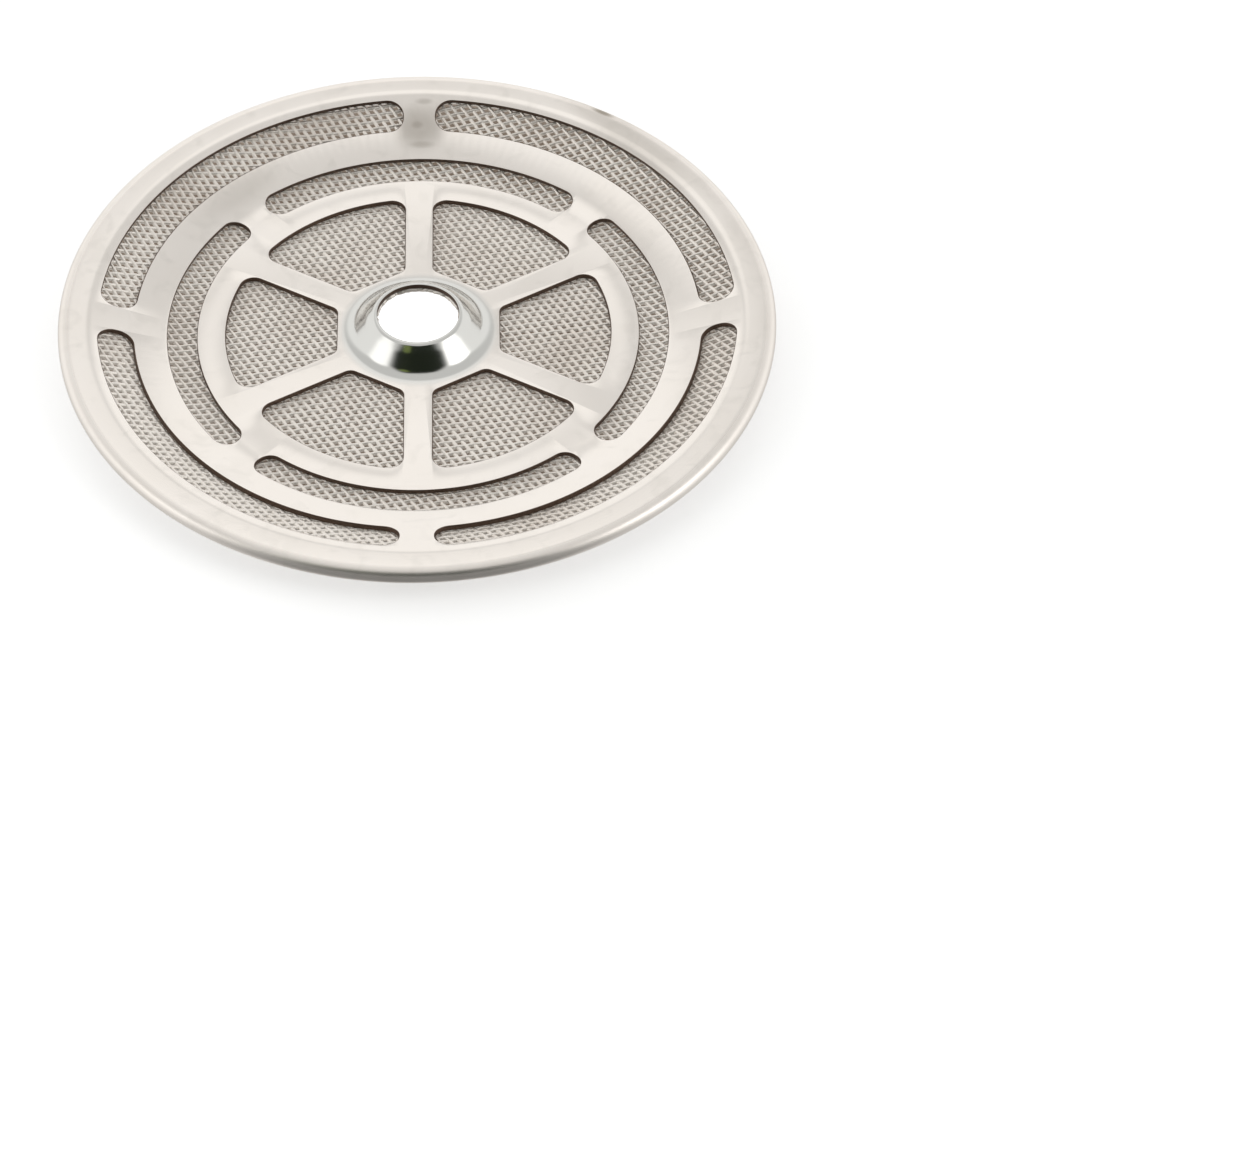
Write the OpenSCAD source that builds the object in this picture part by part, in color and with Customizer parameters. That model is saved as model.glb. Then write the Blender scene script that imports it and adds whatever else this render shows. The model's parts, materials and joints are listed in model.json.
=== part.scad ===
// Shower screen for an espresso machine's brew group: a stamped sheet frame and the woven wire disc
// that its folded hem holds. It lies with the frame up, and z = 0 is the lowest face of the wire disc.

/* [Sheet frame] */
// Outside diameter of the screen
screen_d = 57; // [52:0.5:62]
// Thickness of the stainless sheet
sheet_t = 0.35; // [0.3:0.05:0.5]
// Width of the flat ring, from the outside edge to the bend into the dish
ring_w = 2.1; // [1.9:0.05:2.6]
// How far the hem that is folded under the wire disc stops short of that bend
hem_short = 0.05; // [0:0.05:0.5]

/* [Dish] */
// Depth of the dish below the flat ring
dish_depth = 2.35; // [1.6:0.05:2.6]
// Slope of the dish's wall in degrees
dish_slope = 19; // [16:0.5:24]
// Bend radius where the ring breaks into the dish
dish_top_bend = 2; // [1.5:0.1:3]
// Bend radius where the dish meets its floor
dish_foot_bend = 6; // [3:0.5:8]

/* [Screw boss] */
// Diameter of the screw hole
hole_d = 6.5; // [5.5:0.1:7.2]
// Height of the boss above the dish's floor
boss_h = 1.85; // [1.3:0.05:2.2]
// Slope of the boss's flank in degrees
boss_slope = 44; // [38:1:48]
// Width of the flat crest around the hole
crest_land = 0.2; // [0.1:0.05:0.5]
// Bend radius of the wire disc's inner face under the crest
crest_inner_bend = 0.12; // [0.1:0.02:0.3]
// Bend radius of the flare at the boss's foot
flare_bend = 1.2; // [0.8:0.1:1.8]

/* [Outer slots] */
// Number of outer slots
outer_slots = 4; // [3:1:6]
// Width of the land outside the outer slots
outer_land = 3.15; // [2.6:0.05:3.2]
// Width of an outer slot
outer_slot_w = 2.75; // [2.65:0.05:3.2]
// Width of the bridge between two outer slots
outer_bridge_w = 2.7; // [2:0.1:4]
// Corner radius of the outer slots
outer_corner = 1.3; // [0.8:0.1:1.3]

/* [Middle slots] */
// Number of middle slots
middle_slots = 4; // [3:1:6]
// Width of the land between the outer and the middle slots
middle_land = 2.65; // [2:0.05:3]
// Width of a middle slot
middle_slot_w = 2.3; // [2.25:0.05:2.6]
// Width of the bridge between two middle slots
middle_bridge_w = 2.7; // [2:0.1:4]
// Corner radius of the middle slots
middle_corner = 1.1; // [0.6:0.05:1.1]

/* [Sector windows] */
// Number of windows, and of the spokes between them
windows = 6; // [5:1:8]
// Width of the land between the middle slots and the windows
window_land = 2.3; // [1.8:0.05:2.8]
// Width of a spoke
spoke_w = 2.3; // [1.6:0.1:2.8]
// Corner radius at the windows' outer corners
window_corner = 1.1; // [0.7:0.1:1.4]
// Corner radius at the windows' inner corners
hub_corner = 0.8; // [0.5:0.1:1]
// Width of the flat land between the boss's flare and a window
hub_land = 0.5; // [0.4:0.05:1]

/* [Wire disc] */
// Wire diameter, half the thickness of the weave
wire_d = 0.2; // [0.16:0.01:0.22]
// Clearance between the weave and the sheet on each side
weave_gap = 0.03; // [0.02:0.01:0.1]
// Distance from the outside edge to the wire disc's cut edge
weave_inset = 1; // [0.9:0.1:1.4]
// Direction of the first set of ridges in degrees
weave_turn = -23; // [-45:1:45]
// Spacing of the ridges, each standing for a bundle of wires
ridge_pitch = 4.2; // [4.2:0.1:5]
// Width of a ridge
ridge_w = 2; // [1.4:0.1:2]
// Side of a gap through the weave
gap_w = 2.1; // [1.2:0.1:2.1]

/* [Hidden] */
$fn = 180;
// Largest turn of one chord along a bend of the sheet, a bend of the weave, an arc and an opening's corner
sheet_step = 7;
weave_step = 15;
arc_step = 6;
corner_step = 22;
weave_t = 2 * wire_d;
rim_t = 2 * sheet_t + weave_t + 2 * weave_gap;
hem_bend = rim_t / 2;
// Heights of the sheet's outer face
floor_z = weave_t + weave_gap + sheet_t;
ring_z = floor_z + dish_depth;
hem_z = ring_z - rim_t;
crest_z = floor_z + boss_h;
// Radii, from the outside in
screen_r = screen_d / 2;
ring_ri = screen_r - ring_w;
lip_r = ring_ri + hem_short;
dish_top_r = ring_ri - dish_top_bend * tan(dish_slope / 2);
dish_foot_r = dish_top_r - dish_depth / tan(dish_slope);
outer_slot_ro = screen_r - outer_land;
outer_slot_ri = outer_slot_ro - outer_slot_w;
middle_slot_ro = outer_slot_ri - middle_land;
middle_slot_ri = middle_slot_ro - middle_slot_w;
window_ro = middle_slot_ri - window_land;
weave_r = screen_r - weave_inset;
// Radii, from the hole out
hole_r = hole_d / 2;
crest_bend = crest_inner_bend + weave_t + weave_gap + sheet_t;
crest_r = hole_r + crest_land + crest_bend * tan(boss_slope / 2);
boss_r = crest_r + boss_h / tan(boss_slope);
hub_r = boss_r + flare_bend * tan(boss_slope / 2) + hub_land;
// Margin by which a cutter passes the faces that it cuts
past = 1;

function unit(v) = v / norm(v);
function left(v) = [-v.y, v.x];
function turned(v, a) = [v.x * cos(a) - v.y * sin(a), v.x * sin(a) + v.y * cos(a)];
function reversed(p) = [for (i = [len(p) - 1:-1:0]) p[i]];
function arc(centre, r, from, to, step) =
    let (n = max(1, ceil(abs(to - from) / step)))
    [for (i = [0:n]) centre + r * turned([1, 0], from + (to - from) * i / n)];

// One rounded corner of the line a, b, c, moved by depth to the line's right
function bend(a, b, c, r, depth, step) =
    let (u = unit(b - a),
         w = unit(c - b),
         turn = atan2(u.x * w.y - u.y * w.x, u * w),
         side = sign(turn),
         centre = b - r * tan(abs(turn) / 2) * u + side * r * left(u),
         out = -side * left(u),
         from = atan2(out.y, out.x))
    arc(centre, r + side * depth, from, from + turn, step);

// The whole line through the corners, rounded, and moved by depth to its right
function bent_line(corners, radii, depth, step) =
    let (last = len(corners) - 1,
         u = unit(corners[1] - corners[0]),
         w = unit(corners[last] - corners[last - 1]))
    concat(
        [corners[0] - depth * left(u)],
        [for (i = [1:last - 1])
            each bend(corners[i - 1], corners[i], corners[i + 1], radii[i - 1], depth, step)],
        [corners[last] - depth * left(w)]);

// Radius and height of the corners of the sheet's outer face, from the screw hole to the ring
form = [
    [hole_r, crest_z],
    [crest_r, crest_z],
    [boss_r, floor_z],
    [dish_foot_r, floor_z],
    [dish_top_r, ring_z]];
form_bends = [crest_bend, flare_bend, dish_foot_bend, dish_top_bend];
frame_line = concat(form, [[screen_r, ring_z], [screen_r, hem_z], [lip_r, hem_z]]);
frame_bends = concat(form_bends, [hem_bend, hem_bend]);
weave_line = concat(form, [[weave_r, ring_z]]);

// A formed layer between two depths under the sheet's outer face
module formed(line, bends, top, bottom, step) {
    rotate_extrude()
        polygon(concat(bent_line(line, bends, top, step), reversed(bent_line(line, bends, bottom, step))));
}

// Outline of a slot on one ring, between two bridges of parallel sides at plus and minus half its share
function slot_outline(ri, ro, share, bridge_w, corner) =
    let (half = share / 2,
         outer = half - asin((bridge_w / 2 + corner) / (ro - corner)),
         inner = half - asin((bridge_w / 2 + corner) / (ri + corner)),
         side = concat(
             arc([0, 0], ro, 0, outer, arc_step),
             arc((ro - corner) * turned([1, 0], outer), corner, outer, half + 90, corner_step),
             arc((ri + corner) * turned([1, 0], inner), corner, half + 90, inner + 180, corner_step),
             arc([0, 0], ri, inner, 0, arc_step)))
    concat(side, [for (p = reversed(side)) [p.x, -p.y]]);

// Outline of a sector window, with a straight inner edge at the hub
function window_outline(ri, ro, share, bar_w) =
    let (half = share / 2,
         outer = half - asin((bar_w / 2 + window_corner) / (ro - window_corner)),
         x = ri + hub_corner,
         y = (x * sin(half) - bar_w / 2 - hub_corner) / cos(half),
         side = concat(
             arc([0, 0], ro, 0, outer, arc_step),
             arc((ro - window_corner) * turned([1, 0], outer), window_corner, outer, half + 90, corner_step),
             arc([x, y], hub_corner, half + 90, 180, corner_step)))
    concat(side, [for (p = reversed(side)) [p.x, -p.y]]);

// One cutter on each share of the circle, the first at an angle
module ring_of(count, first) {
    for (i = [0:count - 1])
        rotate(first + i * 360 / count)
            children();
}

module cutter(outline) {
    translate([0, 0, -past])
        linear_extrude(ring_z + 2 * past)
            polygon(outline);
}

// Stamped sheet: rolled hem, flat ring, dish, three rings of openings and the pressed screw boss
module frame_plate() {
    color([0.87, 0.85, 0.83])
    difference() {
        formed(frame_line, frame_bends, 0, sheet_t, sheet_step);
        ring_of(outer_slots, 180 / outer_slots)
            cutter(slot_outline(
                outer_slot_ri, outer_slot_ro, 360 / outer_slots, outer_bridge_w, outer_corner));
        ring_of(middle_slots, 0)
            cutter(slot_outline(
                middle_slot_ri, middle_slot_ro, 360 / middle_slots, middle_bridge_w, middle_corner));
        ring_of(windows, 90 - 180 / windows)
            cutter(window_outline(hub_r, window_ro, 360 / windows, spoke_w));
    }
}

// One face of the weave: parallel ridges, and the layer under the sheet's outer face that they reach through
module ridges(direction, top, bottom) {
    reach = ceil(weave_r / ridge_pitch);
    intersection() {
        formed(weave_line, form_bends, top, bottom, weave_step);
        rotate(direction)
            for (i = [-reach:reach])
                translate([-weave_r, i * ridge_pitch - ridge_w / 2, 0])
                    cube([2 * weave_r, ridge_w, ring_z]);
    }
}

// Gaps between the ridges, clear of the boss and of the clamped edge
module gaps() {
    reach = ceil(weave_r / ridge_pitch);
    for (i = [-reach:reach], j = [-reach:reach]) {
        middle = ridge_pitch * [i + 0.5, j + 0.5];
        if (norm(middle) > boss_r + gap_w && norm(middle) < lip_r - gap_w)
            translate([middle.x - gap_w / 2, middle.y - gap_w / 2, -past])
                cube([gap_w, gap_w, ring_z + 2 * past]);
    }
}

// Woven wire disc: a wall one wire thick, with the crowns of the wires on both faces
module mesh_disc() {
    face = sheet_t + weave_gap;
    back = face + weave_t;
    color([0.62, 0.6, 0.57])
    difference() {
        union() {
            formed(weave_line, form_bends, face + wire_d / 2, back - wire_d / 2, weave_step);
            ridges(weave_turn, face, face + wire_d);
            ridges(weave_turn + 90, back - wire_d, back);
        }
        rotate(weave_turn)
            gaps();
    }
}

frame_plate();
mesh_disc();
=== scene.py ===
import bisect
import json
import math

import bmesh
import bpy
from mathutils import Matrix, Vector


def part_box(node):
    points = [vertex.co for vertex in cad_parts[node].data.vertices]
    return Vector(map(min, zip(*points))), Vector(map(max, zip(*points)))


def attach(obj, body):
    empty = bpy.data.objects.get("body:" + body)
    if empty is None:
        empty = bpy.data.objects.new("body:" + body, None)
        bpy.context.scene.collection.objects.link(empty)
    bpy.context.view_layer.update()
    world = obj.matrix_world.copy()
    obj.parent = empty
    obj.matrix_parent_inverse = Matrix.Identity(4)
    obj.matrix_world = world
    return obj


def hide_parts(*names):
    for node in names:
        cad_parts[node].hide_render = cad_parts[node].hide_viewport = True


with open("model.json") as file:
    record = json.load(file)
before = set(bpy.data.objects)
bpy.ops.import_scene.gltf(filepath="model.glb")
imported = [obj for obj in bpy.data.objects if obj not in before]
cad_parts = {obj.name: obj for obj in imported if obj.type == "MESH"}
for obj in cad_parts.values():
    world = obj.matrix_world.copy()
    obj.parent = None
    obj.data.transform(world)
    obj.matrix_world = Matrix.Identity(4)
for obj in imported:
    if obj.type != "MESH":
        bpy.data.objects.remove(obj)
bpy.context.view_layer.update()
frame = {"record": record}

# Frame plate
# One round blank of stainless sheet. Its openings are pierced while it is flat, then it is pressed to a
# dish with a raised screw boss, and its edge is rolled under into a hem that clamps the wire disc.
mm = 0.001
screen_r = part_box("frame_plate")[1].x
ring_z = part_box("frame_plate")[1].z
hole_r = next(m for m in frame["record"]["mounts"] if m["name"] == "screw_hole")["dims"]["r_mm"] * mm
sheet_t = 0.4 * mm
hem_room = 0.46 * mm
dish_depth = 2.35 * mm
boss_h = 1.85 * mm
brow_h = 0.5 * mm
# Widths of the flat ring with its rolled edge, of that edge, of the hem's stop short of the dish, of the
# flat crest at the screw hole, and of the flat land between the boss and a window
ring_w = 2.1 * mm
edge_w = 0.9 * mm
hem_short = 0.05 * mm
crest_land = 0.1 * mm
hub_land = 0.4 * mm
# Slopes of its pressed walls and of its edge, and its bends as the outer face has them. The boss has two
# slopes: its brow under the crest is a little flatter than its flank.
dish_slope = math.radians(19)
boss_slope = math.radians(46)
brow_slope = math.radians(40)
edge_slope = math.radians(10)
crest_bend = 0.5 * mm
brow_bend = 3 * mm
flare_bend = 1.6 * mm
dish_foot_bend = 6 * mm
dish_top_bend = 2 * mm
edge_bend = 2 * mm
edge_roll = 0.7 * mm
hem_bend = 0.5 * mm
# Heights and radii of the corners between its straight stretches, as the outer face has them
floor_z = ring_z - dish_depth
crest_z = floor_z + boss_h
brow_z = crest_z - brow_h
side_z = ring_z - edge_w * math.tan(edge_slope)
hem_z = ring_z - 2 * sheet_t - hem_room
ring_ri = screen_r - ring_w
lip_r = ring_ri + hem_short
edge_r = screen_r - edge_w
dish_top_r = ring_ri - dish_top_bend * math.tan(dish_slope / 2)
dish_foot_r = dish_top_r - dish_depth / math.tan(dish_slope)
crest_r = hole_r + crest_land + crest_bend * math.tan(brow_slope / 2)
brow_r = crest_r + brow_h / math.tan(brow_slope)
boss_r = brow_r + (brow_z - floor_z) / math.tan(boss_slope)
hub_r = boss_r + flare_bend * math.tan(boss_slope / 2) + hub_land
# Length of a step on an arc and on an opening's corner, in degrees
arc_step = 2
corner_step = 10


def bend(before, corner, after, radius, step=math.radians(5)):
    """Points and outward normals of the outer face as it bends round one corner."""
    come = (corner - before).normalized()
    go = (after - corner).normalized()
    turn = math.atan2(come.x * go.y - come.y * go.x, come.dot(go))
    side = math.copysign(1, turn)
    start = corner - come * radius * math.tan(abs(turn) / 2)
    spoke = Vector((come.y, -come.x)) * side * radius
    steps = math.ceil(abs(turn) / step)
    turns = [Matrix.Rotation(turn * i / steps, 2) for i in range(steps + 1)]
    return [(start - spoke + t @ spoke, -side * (t @ spoke).normalized()) for t in turns]


# Section of the outer face, first from the screw hole to the ring, then over the edge to the hem's lip
corners = [Vector(c) for c in (
    (hole_r, crest_z), (crest_r, crest_z), (brow_r, brow_z), (boss_r, floor_z), (dish_foot_r, floor_z),
    (dish_top_r, ring_z), (edge_r, ring_z), (screen_r, side_z), (screen_r, hem_z), (lip_r, hem_z))]
pressed = [(corners[0], Vector((0, 1)))]
for i, radius in enumerate((crest_bend, brow_bend, flare_bend, dish_foot_bend, dish_top_bend)):
    pressed += bend(*corners[i:i + 3], radius)
rolled = []
for i, radius in enumerate((edge_bend, edge_roll, hem_bend)):
    rolled += bend(*corners[i + 5:i + 8], radius)
rolled.append((corners[-1], Vector((0, -1))))
section = pressed + rolled

# Radius of each of its points in the flat blank: its own up to the ring, and the length of sheet past it
blank_r = [point.x for point, normal in pressed + rolled[:1]]
for (point, normal), (next_point, next_normal) in zip(rolled, rolled[1:]):
    blank_r.append(max(blank_r[-1] + (next_point - point).length, blank_r[-1] + 0.001 * mm))


def press(point):
    """Where the pressing and the rolling bring a point of the flat blank, or of the wire disc under it."""
    flat_r = math.hypot(point.x, point.y)
    i = min(max(bisect.bisect(blank_r, flat_r), 1), len(blank_r) - 1)
    share = (flat_r - blank_r[i - 1]) / (blank_r[i] - blank_r[i - 1])
    face = section[i - 1][0].lerp(section[i][0], share)
    normal = section[i - 1][1].lerp(section[i][1], share)
    place = face + normal * point.z
    return Vector((point.x * place.x / flat_r, point.y * place.x / flat_r, place.y))


def away(radius, angle):
    """The point at a radius and an angle in degrees."""
    return radius * Vector((math.cos(math.radians(angle)), math.sin(math.radians(angle))))


def arc(centre, radius, start, end, step):
    """Points on an arc, with its angles in degrees."""
    steps = max(1, math.ceil(abs(end - start) / step))
    return [Vector(centre) + away(radius, start + (end - start) * i / steps) for i in range(steps + 1)]


def mirrored(side):
    """The whole outline, from its half above the X axis."""
    return side[:-1] + [Vector((p.x, -p.y)) for p in reversed(side[1:])]


def slot_outline(ri, ro, share, bridge_w, corner):
    """A slot on one ring, between two bridges of parallel sides."""
    outer = share / 2 - math.degrees(math.asin((bridge_w / 2 + corner) / (ro - corner)))
    inner = share / 2 - math.degrees(math.asin((bridge_w / 2 + corner) / (ri + corner)))
    return mirrored(
        arc((0, 0), ro, 0, outer, arc_step)
        + arc(away(ro - corner, outer), corner, outer, share / 2 + 90, corner_step)
        + arc(away(ri + corner, inner), corner, share / 2 + 90, inner + 180, corner_step)
        + arc((0, 0), ri, inner, 0, arc_step))


def window_outline(ri, ro, share, spoke_w, corner, hub_corner):
    """A sector window, with a straight inner edge at the boss."""
    half = math.radians(share / 2)
    outer = share / 2 - math.degrees(math.asin((spoke_w / 2 + corner) / (ro - corner)))
    x = ri + hub_corner
    y = (x * math.sin(half) - spoke_w / 2 - hub_corner) / math.cos(half)
    return mirrored(
        arc((0, 0), ro, 0, outer, arc_step)
        + arc(away(ro - corner, outer), corner, outer, share / 2 + 90, corner_step)
        + arc((x, y), hub_corner, share / 2 + 90, 180, corner_step)
        + [Vector((ri, 0))])


def linear(hex_colour):
    """An sRGB hex colour as linear red, green, blue and alpha."""
    values = [int(hex_colour[i:i + 2], 16) / 255 for i in (1, 3, 5)]
    return [v / 12.92 if v <= 0.04045 else ((v + 0.055) / 1.055) ** 2.4 for v in values] + [1]


def add(tree, kind, inputs, **settings):
    """A shader node with its settings, and with each of its inputs set or linked."""
    made = tree.nodes.new("ShaderNode" + kind)
    for name, value in settings.items():
        setattr(made, name, value)
    for name, value in inputs.items():
        if isinstance(value, bpy.types.NodeSocket):
            tree.links.new(value, made.inputs[name])
        else:
            made.inputs[name].default_value = value
    return made


def blend(tree, light, other, share):
    """A value that goes over to another one by a share."""
    return add(tree, "Mix", {0: share, 2: light, 3: other}, data_type="FLOAT").outputs[0]


def mix(tree, colour, other, share):
    """A colour that goes over to another one by a share."""
    return add(tree, "Mix", {0: share, 6: colour, 7: other}, data_type="RGBA").outputs[2]


def fade(tree, value, low, high):
    """A share that goes softly from 0 to 1 as a value goes from low to high."""
    limits = {"Value": value, 1: low, 2: high}
    return add(tree, "MapRange", limits, interpolation_type="SMOOTHSTEP").outputs[0]


def product(tree, value, other):
    """The product of two values."""
    return add(tree, "Math", {0: value, 1: other}, operation="MULTIPLY").outputs[0]


def metal(name):
    """A metal's material, with its nodes, its shader and its place on the object."""
    made = bpy.data.materials.new(name)
    made.use_nodes = True
    shader = made.node_tree.nodes["Principled BSDF"]
    shader.inputs["Metallic"].default_value = 1
    return made, made.node_tree, shader, add(made.node_tree, "TexCoord", {}).outputs["Object"]


def show(name, data):
    """An object at the origin, linked to the scene."""
    made = bpy.data.objects.new(name, data)
    bpy.context.scene.collection.objects.link(made)
    return made


def piece(name, bm, *materials):
    """An object with its place in its mesh."""
    mesh = bpy.data.meshes.new(name)
    bm.to_mesh(mesh)
    bm.free()
    for material in materials:
        mesh.materials.append(material)
    return show(name, mesh)


# Bright rolled stainless steel sheet. It mirrors the studio softly, with a haze in patches, the rolling
# mill's fine grain along one way, faint marks of handling and two stretches of painted shade on the ring.
# The punch leaves the boss smoother, and the boss's greyer colour is painted shade.
bright, tree, shader, place = metal("bright_rolled_stainless_sheet")
place_mm = add(tree, "VectorMath", {0: place, "Scale": 1 / mm}, operation="SCALE").outputs[0]
flat_place = add(tree, "VectorMath", {0: place_mm, 1: (1, 1, 0)}, operation="MULTIPLY").outputs[0]
from_axis = add(tree, "VectorMath", {0: flat_place}, operation="LENGTH").outputs["Value"]
off_boss = fade(tree, from_axis, 5.7, 6.6)
cloud = add(tree, "TexNoise", {"Vector": place_mm, "Scale": 0.16, "Detail": 3}).outputs["Fac"]
handling = {"Vector": place_mm, "Scale": 0.5, "Detail": 5, "Distortion": 0.8}
handled = add(tree, "TexNoise", handling).outputs["Fac"]
along = add(tree, "VectorMath", {0: place_mm, 1: (0.06, 1, 1)}, operation="MULTIPLY").outputs[0]
grain = add(tree, "TexNoise", {"Vector": along, "Scale": 9, "Detail": 2}).outputs["Fac"]


def mark(tree, x, y, angle, length, width):
    """How far a point is inside a soft oval mark on the sheet, with its sizes in millimetres."""
    oval = {
        "Vector": flat_place, "Location": (x, y, 0), "Rotation": (0, 0, math.radians(angle)),
        "Scale": (length / 2, width / 2, 1)}
    local = add(tree, "Mapping", oval, vector_type="TEXTURE").outputs[0]
    spread = add(tree, "VectorMath", {0: local}, operation="LENGTH").outputs["Value"]
    edges = {"Value": spread, 1: 0.2, 2: 1.1, 3: 1, 4: 0}
    return add(tree, "MapRange", edges, interpolation_type="SMOOTHSTEP").outputs[0]


tint = mix(tree, linear("#F2EDE7"), linear("#F9F5F1"), cloud)
haze = add(tree, "MapRange", {"Value": handled, 1: 0.52, 2: 0.75, 3: 0, 4: 0.3}).outputs[0]
tint = mix(tree, tint, linear("#DCD8D2"), haze)
# A dull smear over the bridge behind the boss, three spots on it, a scuff on the edge beside it, and two
# grey stretches of the ring that are painted shade: each one's place, angle, length, width and strength
marks = (
    (0, 22.9, 0, 6, 5, 0.5),
    (0.4, 25.2, 0, 1.8, 0.7, 0.35),
    (-0.2, 23.1, 0, 1.2, 0.9, 0.4),
    (0.2, 21.3, 0, 2.6, 0.8, 0.35),
    (15.3, 23.3, -34, 2.6, 0.8, 1),
    (17.5, 20, -49, 20, 4, 0.3),
    (-15, 15.5, 46, 12, 3.5, 0.2))
# The first five marks are wear; the last two are painted shade
for x, y, angle, length, width, share in marks:
    wear_and_shade = product(tree, mark(tree, x, y, angle, length, width), share)
    tint = mix(tree, tint, linear("#A39C92"), wear_and_shade)
# Painted shade: the boss gets a greyer colour than the rest of the sheet
tint = mix(tree, linear("#DCDDDB"), tint, off_boss)
tree.links.new(tint, shader.inputs["Base Color"])
boss_rough = 0.14
dull = add(tree, "MapRange", {"Value": cloud, 3: boss_rough, 4: 0.24}).outputs[0]
rough = blend(tree, boss_rough, dull, off_boss)
# The rolled edge was stretched, so it is duller
rough = blend(tree, rough, 0.4, fade(tree, from_axis, 27.5, 28.1))
tree.links.new(rough, shader.inputs["Roughness"])
grain_depth = product(tree, grain, off_boss)
bump = add(tree, "Bump", {"Height": grain_depth, "Strength": 0.3, "Distance": 0.004 * mm})
tree.links.new(bump.outputs[0], shader.inputs["Normal"])

# Sheared edge of the same sheet, torn by the punch: its dark brown is painted shade along the cut walls
sheared, tree, shader, place = metal("sheared_edge_painted_shade")
tears = add(tree, "VectorMath", {0: place, 1: (16 / mm, 16 / mm, 3 / mm)}, operation="MULTIPLY").outputs[0]
torn = add(tree, "TexNoise", {"Vector": tears, "Scale": 1, "Detail": 3}).outputs["Fac"]
# Painted shade: the cut walls get dark brown tints, varied at random with the tears
tint = mix(tree, linear("#4A3A30"), linear("#75655A"), torn)
tree.links.new(tint, shader.inputs["Base Color"])
rough = add(tree, "MapRange", {"Value": torn, 3: 0.4, 4: 0.65}).outputs[0]
tree.links.new(rough, shader.inputs["Roughness"])

# The flat blank: its section turned round the axis, with rounded edges at the hole and at the lip
blank = bmesh.new()
blank_steps = 360
edge_round = 0.06 * mm
rim = [blank.verts.new((r, 0, 0)) for r in blank_r]
rim += [blank.verts.new((r, 0, -sheet_t)) for r in reversed(blank_r)]
for pair in zip(rim, rim[1:] + rim[:1]):
    blank.edges.new(pair)
edge_verts = [rim[0], rim[len(blank_r) - 1], rim[len(blank_r)], rim[-1]]
bmesh.ops.bevel(
    blank, geom=edge_verts, offset=edge_round, offset_type="OFFSET", segments=3, profile=0.5,
    affect="VERTICES", material=-1)
bmesh.ops.spin(
    blank, geom=blank.verts[:] + blank.edges[:], cent=(0, 0, 0), axis=(0, 0, 1), angle=math.tau,
    steps=blank_steps, use_merge=True)
bmesh.ops.recalc_face_normals(blank, faces=blank.faces)

# The punches: each opening's outline, wider at the sheet's two faces, so that the cut edges are rounded
punch_past = 0.3 * mm
quarter = [math.radians(a) for a in (0, 30, 60, 90)]
levels = [(punch_past, edge_round)]
levels += [(-edge_round * (1 - math.cos(a)), edge_round * (1 - math.sin(a))) for a in quarter]
levels += [(-sheet_t - z, spread) for z, spread in reversed(levels)]
# Outer and middle slots: their count, the first one's angle, their outer radius, width and corner radius
bridge_w = 2.7 * mm
slot_sizes = (
    (4, 45, screen_r - 3.15 * mm, 2.75 * mm, 1.3 * mm),
    (4, 0, screen_r - 8.55 * mm, 2.3 * mm, 1.1 * mm))
windows = 6
window_ro = screen_r - 13.15 * mm
spoke_w = 2.3 * mm
window_corner = 1.1 * mm
hub_corner = 0.8 * mm
punches = bmesh.new()


def punch(outlines, angle):
    """One opening's punch, turned to its place."""
    turn = Matrix.Rotation(math.radians(angle), 3, "Z")
    rings = []
    for (z, spread), outline in zip(levels, outlines):
        verts = [punches.verts.new(turn @ Vector((p.x, p.y, z))) for p in outline]
        rings.append([punches.edges.new(pair) for pair in zip(verts, verts[1:] + verts[:1])])
    for upper, lower in zip(rings, rings[1:]):
        bmesh.ops.bridge_loops(punches, edges=upper + lower)
    for ring in (rings[0], rings[-1]):
        bmesh.ops.edgeloop_fill(punches, edges=ring)


for count, first, ro, width, corner in slot_sizes:
    outlines = [
        slot_outline(ro - width - s, ro + s, 360 / count, bridge_w - 2 * s, corner + s) for z, s in levels]
    for i in range(count):
        punch(outlines, first + i * 360 / count)
outlines = [
    window_outline(
        hub_r - s, window_ro + s, 360 / windows, spoke_w - 2 * s, window_corner + s, hub_corner + s)
    for z, s in levels]
for i in range(windows):
    punch(outlines, i * 360 / windows)
bmesh.ops.recalc_face_normals(punches, faces=punches.faces)

# Piercing, then pressing and rolling. Only the hole's wall comes with the blank, and it is sheared too.
plate = piece("pressed_frame", blank, bright, sheared)
tool = piece("punches", punches, sheared)
pierce = plate.modifiers.new("pierce", "BOOLEAN")
pierce.operation = "DIFFERENCE"
pierce.solver = "EXACT"
pierce.material_mode = "TRANSFER"
pierce.object = tool
pierced = plate.evaluated_get(bpy.context.evaluated_depsgraph_get())
formed = bmesh.new()
formed.from_mesh(pierced.to_mesh())
plate.modifiers.clear()
bpy.data.objects.remove(tool)
bmesh.ops.remove_doubles(formed, verts=formed.verts, dist=0.0005 * mm)
bmesh.ops.triangulate(formed, faces=formed.faces)
for face in formed.faces:
    if math.hypot(*face.calc_center_median().xy) < hole_r + 0.5 * edge_round:
        face.material_index = 1
for vert in formed.verts:
    vert.co = press(vert.co)
for face in formed.faces:
    face.smooth = True
formed.to_mesh(plate.data)
formed.free()
plate.data.set_sharp_from_angle(angle=math.radians(35))
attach(plate, "root")
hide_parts("frame_plate")

# Wire disc
# A plain weave of drawn stainless wire, cut to a disc and pressed together with the frame. The cloth is
# drawn askew, so that its two sets of wires cross at 68 degrees and leave oval holes.
weave_r = screen_r - 1.3 * mm
wire_end_r = hole_r + 0.12 * mm
wire_d = 0.33 * mm
wire_pitch = 0.612 * mm
crimp = 0.032 * mm
warp_angle = 10.8
weft_angle = 123.2
weave_depth = wire_d / 2 + crimp - floor_z

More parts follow.
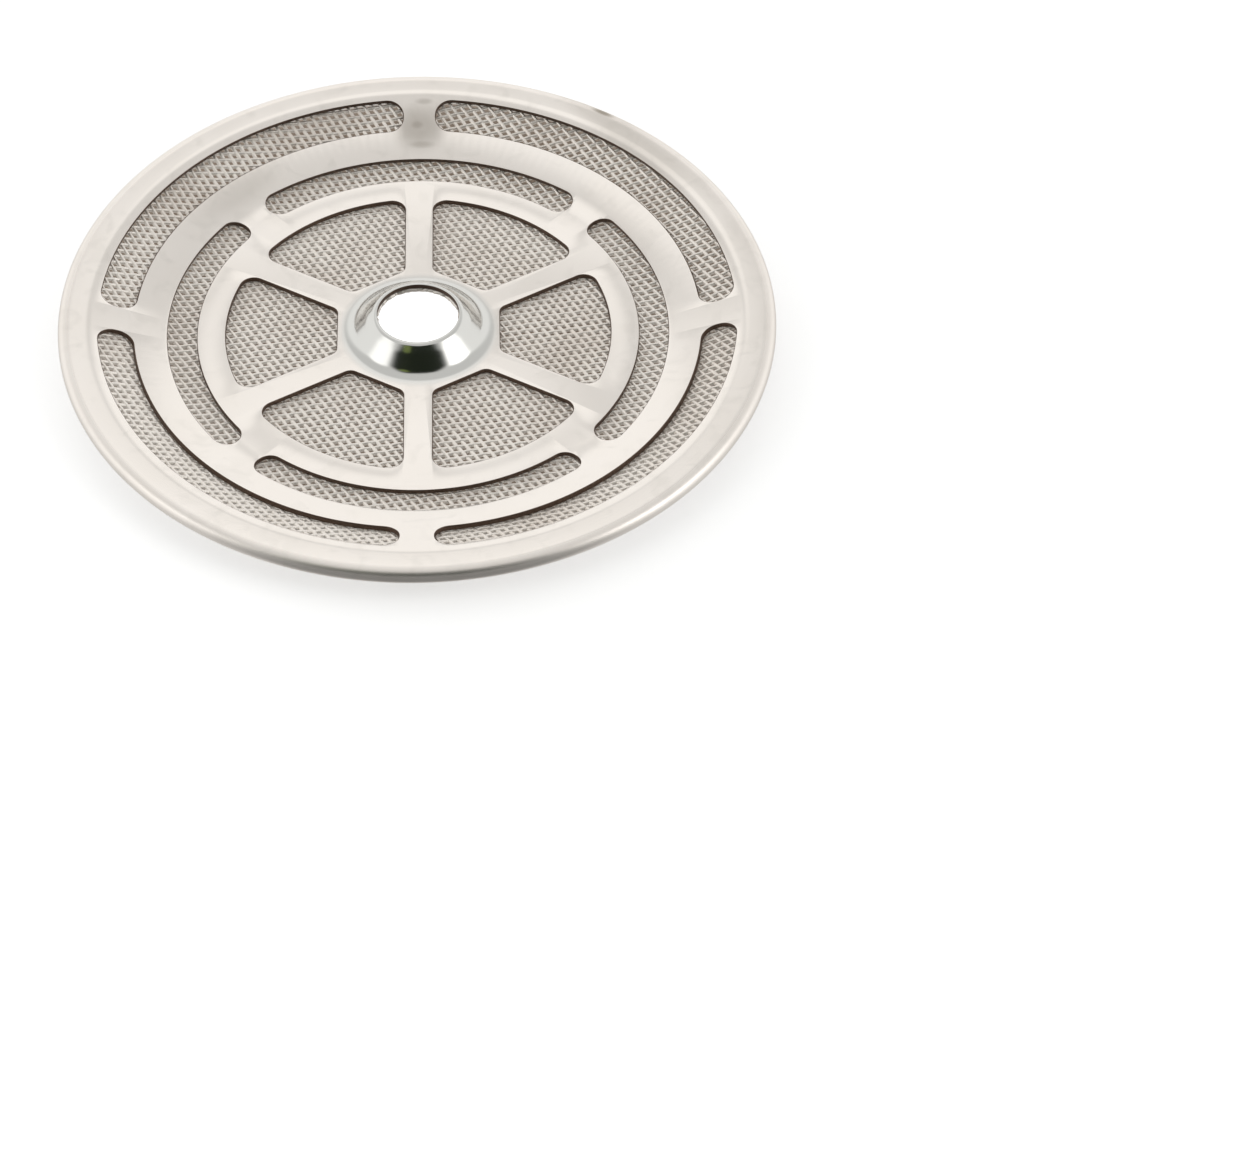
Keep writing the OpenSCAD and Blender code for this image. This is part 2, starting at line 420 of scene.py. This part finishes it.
# Drawn stainless wire: bright and warm grey, with duller lengths and a trace of coffee stain in places
drawn, tree, shader, place = metal("drawn_stainless_wire")
place_mm = add(tree, "VectorMath", {0: place, "Scale": 1 / mm}, operation="SCALE").outputs[0]
stain = add(tree, "TexNoise", {"Vector": place_mm, "Scale": 0.12, "Detail": 4}).outputs["Fac"]
length = add(tree, "TexNoise", {"Vector": place_mm, "Scale": 1.6, "Detail": 3}).outputs["Fac"]
tint = mix(tree, linear("#F4EEE7"), linear("#FDFAF6"), length)
stained = add(tree, "MapRange", {"Value": stain, 1: 0.45, 2: 0.8, 3: 0, 4: 0.3}).outputs[0]
tint = mix(tree, tint, linear("#C2B2A4"), stained)
tree.links.new(tint, shader.inputs["Base Color"])
rough = add(tree, "MapRange", {"Value": length, 3: 0.42, 4: 0.58}).outputs[0]
tree.links.new(rough, shader.inputs["Roughness"])


def weave(name, angle, cross_angle, rise):
    """One set of wires, each waving over and under the wires that it crosses."""
    curve = bpy.data.curves.new(name, "CURVE")
    curve.dimensions = "3D"
    curve.bevel_depth = wire_d / 2
    curve.bevel_resolution = 1
    curve.use_fill_caps = True
    turn = Matrix.Rotation(math.radians(angle), 3, "Z")
    askew = math.radians(angle - cross_angle)
    crossing = wire_pitch / abs(math.sin(askew))
    reach = math.floor(weave_r / wire_pitch)
    for i in range(-reach, reach + 1):
        offset = i * wire_pitch
        shift = -offset * math.cos(askew) / math.sin(askew)
        half = math.sqrt(weave_r ** 2 - offset ** 2)
        cut = math.sqrt(max(wire_end_r ** 2 - offset ** 2, 0))
        for start, end in ((-half, -cut), (cut, half)) if cut else ((-half, half),):
            first = math.ceil((start - shift) / crossing * 2)
            last = math.floor((end - shift) / crossing * 2)
            steps = [start] + [shift + k * crossing / 2 for k in range(first, last + 1)] + [end]
            spline = curve.splines.new("POLY")
            spline.points.add(len(steps) - 1)
            for point, along in zip(spline.points, steps):
                wave = math.cos(math.pi * ((along - shift) / crossing + i))
                flat = turn @ Vector((along, offset, 0))
                flat.z = weave_depth + rise * wave * crimp
                point.co = (*press(flat), 1)
            spline.use_smooth = True
    made = show(name + "_curve", curve)
    mesh = bpy.data.meshes.new_from_object(made.evaluated_get(bpy.context.evaluated_depsgraph_get()))
    bpy.data.objects.remove(made)
    mesh.materials.clear()
    mesh.materials.append(drawn)
    wires = show(name, mesh)
    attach(wires, "root")
    return wires


warp = weave("warp_wires", warp_angle, weft_angle, 1)
weft = weave("weft_wires", weft_angle, warp_angle, -1)
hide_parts("mesh_disc")
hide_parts("mesh_disc")

# Floor, studio and camera
# A white table that keeps the object's shadow, seen by the camera alone, and a soft studio all round.
# Under the wire disc, where the camera sees it through the weave, the table is painted dark as painted
# shade;
# under the hole it glows brighter than elsewhere, painted light that keeps it white.
floor_half = 1.5
ground = bmesh.new()
bmesh.ops.create_grid(ground, x_segments=1, y_segments=1, size=floor_half)
white = bpy.data.materials.new("white_table")
white.use_nodes = True
tree = white.node_tree
tree.nodes.clear()
place = add(tree, "TexCoord", {}).outputs["Object"]
from_axis = add(tree, "VectorMath", {0: place}, operation="LENGTH").outputs["Value"]
shade_middle = (0, 1.2 * mm, 0)
from_shade = add(tree, "VectorMath", {0: place, 1: shade_middle}, operation="DISTANCE").outputs["Value"]
outside = fade(tree, from_shade, 26.8 * mm, 27.6 * mm)
below = {"Value": from_axis, 1: 5.5 * mm, 2: 6 * mm, 3: 1, 4: 0}
below_hole = add(tree, "MapRange", below).outputs[0]
open_floor = add(tree, "Math", {0: outside, 1: below_hole}, operation="MAXIMUM").outputs[0]
# Painted shade: the dark brown table under the wire disc. Painted light: the stronger glow under the hole
shade = mix(tree, linear("#A89C90"), linear("#F0F2F4"), open_floor)
diffuse = add(tree, "BsdfDiffuse", {"Color": shade}).outputs[0]
lift = mix(tree, linear("#362E29"), linear("#B4B4B4"), open_floor)
lift = mix(tree, lift, linear("#FFFFFF"), below_hole)
glow = add(tree, "Emission", {"Color": lift}).outputs[0]
lit = add(tree, "AddShader", {0: diffuse, 1: glow}).outputs[0]
clear = add(tree, "BsdfTransparent", {}).outputs[0]
backfacing = add(tree, "NewGeometry", {}).outputs["Backfacing"]
seen = add(tree, "MixShader", {0: backfacing, 1: lit, 2: clear}).outputs[0]
add(tree, "OutputMaterial", {"Surface": seen})
table = piece("white_table", ground, white)
table.visible_diffuse = False
table.visible_glossy = False
table.visible_transmission = False
table.visible_shadow = False

world = bpy.data.worlds.new("studio")
bpy.context.scene.world = world
world.use_nodes = True
tree = world.node_tree
tree.nodes.clear()
toward = add(tree, "TexCoord", {}).outputs["Generated"]
axes = add(tree, "SeparateXYZ", {"Vector": toward}).outputs


def patch(direction, inner, outer):
    """How far a direction is inside a soft-edged round part of the studio, from 0 to 1."""
    aim = Vector(direction).normalized()
    cosine = add(tree, "VectorMath", {0: toward, 1: aim}, operation="DOT_PRODUCT").outputs["Value"]
    return fade(tree, cosine, math.cos(math.radians(outer)), math.cos(math.radians(inner)))


# White walls, a greyer ceiling with a bright panel behind the object, a panel at each front corner, and a
# greyer table far around. For the shadow on the table the walls are brighter on the left.
path = add(tree, "LightPath", {}).outputs
mirrored_rays = {0: path["Is Glossy Ray"], 1: path["Is Transmission Ray"]}
shown = add(tree, "Math", mirrored_rays, operation="ADD").outputs[0]
aslant = add(tree, "Math", {0: axes["X"], 1: -0.6, 2: 0.95}, operation="MULTIPLY_ADD").outputs[0]
level = blend(tree, aslant, 1, shown)
for light, share in (
        (0.7, fade(tree, axes["Z"], 0.5, 0.68)),
        (1.01, patch((-0.09, 0.55, 0.83), 9, 17)),
        (2.2, patch((0.82, -0.24, 0.55), 10, 22)),
        (1.5, patch((-0.82, -0.24, 0.55), 8, 20)),
        (0.66, fade(tree, axes["Z"], 0, -0.35))):
    level = blend(tree, level, light, share)
# The dark room in front, where the camera stands, and the dusk of the table right before the object
sideways = add(tree, "Math", {0: axes["X"]}, operation="ABSOLUTE").outputs[0]
front = add(tree, "Math", {0: sideways, 1: -0.5, 2: 0}, operation="MULTIPLY_ADD").outputs[0]
front = add(tree, "Math", {0: front, 1: axes["Y"]}, operation="SUBTRACT").outputs[0]
facing = fade(tree, front, 0.06, 0.3)
level = blend(tree, level, 0.2, product(tree, facing, fade(tree, axes["Z"], 0.34, 0.16)))
room = product(tree, facing, fade(tree, axes["Z"], 0.2, 0.36))
room = product(tree, room, fade(tree, axes["Z"], 0.95, 0.88))
walls = add(tree, "Background", {"Color": linear("#FFFDFA"), "Strength": level}).outputs[0]
gleam = patch((-0.3, -0.5, 0.81), 1, 8)
depth = mix(tree, linear("#20251C"), linear("#76824A"), gleam)
dark = add(tree, "Background", {"Color": depth, "Strength": 1}).outputs[0]
studio = add(tree, "MixShader", {0: room, 1: walls, 2: dark}).outputs[0]
backdrop = add(tree, "Background", {"Color": (1, 1, 1, 1), "Strength": 1}).outputs[0]
either = add(tree, "MixShader", {0: path["Is Camera Ray"], 1: studio, 2: backdrop}).outputs[0]
add(tree, "OutputWorld", {"Surface": either})

# Camera, as the photograph was taken: above the front edge, from a third of a metre
photo_w = 1243
photo_h = 1162
focal_px = 4000
sensor_w = 36
distance = 317.86 * mm
elevation = math.radians(47.907)
roll = math.radians(-1.272)
turned = math.radians(-2.65)
axis_px = (418.03, 311.30)
aim_z = floor_z + 2.05 * mm
right = Vector((1, 0, 0))
up = Vector((0, math.sin(elevation), math.cos(elevation)))
ahead = Vector((0, math.cos(elevation), -math.sin(elevation)))
camera_right = right * math.cos(roll) - up * math.sin(roll)
camera_up = right * math.sin(roll) + up * math.cos(roll)
aside = (axis_px[0] - photo_w / 2) * distance / focal_px
above = -(axis_px[1] - photo_h / 2) * distance / focal_px
stand = Vector((0, 0, aim_z)) - camera_right * aside - camera_up * above - ahead * distance
pose = Matrix.Identity(4)
for column, axis in enumerate((camera_right, camera_up, -ahead, stand)):
    for row in range(3):
        pose[row][column] = axis[row]
camera = show("camera", bpy.data.cameras.new("camera"))
camera.data.sensor_width = sensor_w
camera.data.lens = focal_px / photo_w * sensor_w
camera.data.clip_start = 10 * mm
camera.matrix_world = Matrix.Rotation(turned, 4, "Z") @ pose
bpy.context.scene.camera = camera

bpy.context.scene.view_settings.view_transform = "Standard"
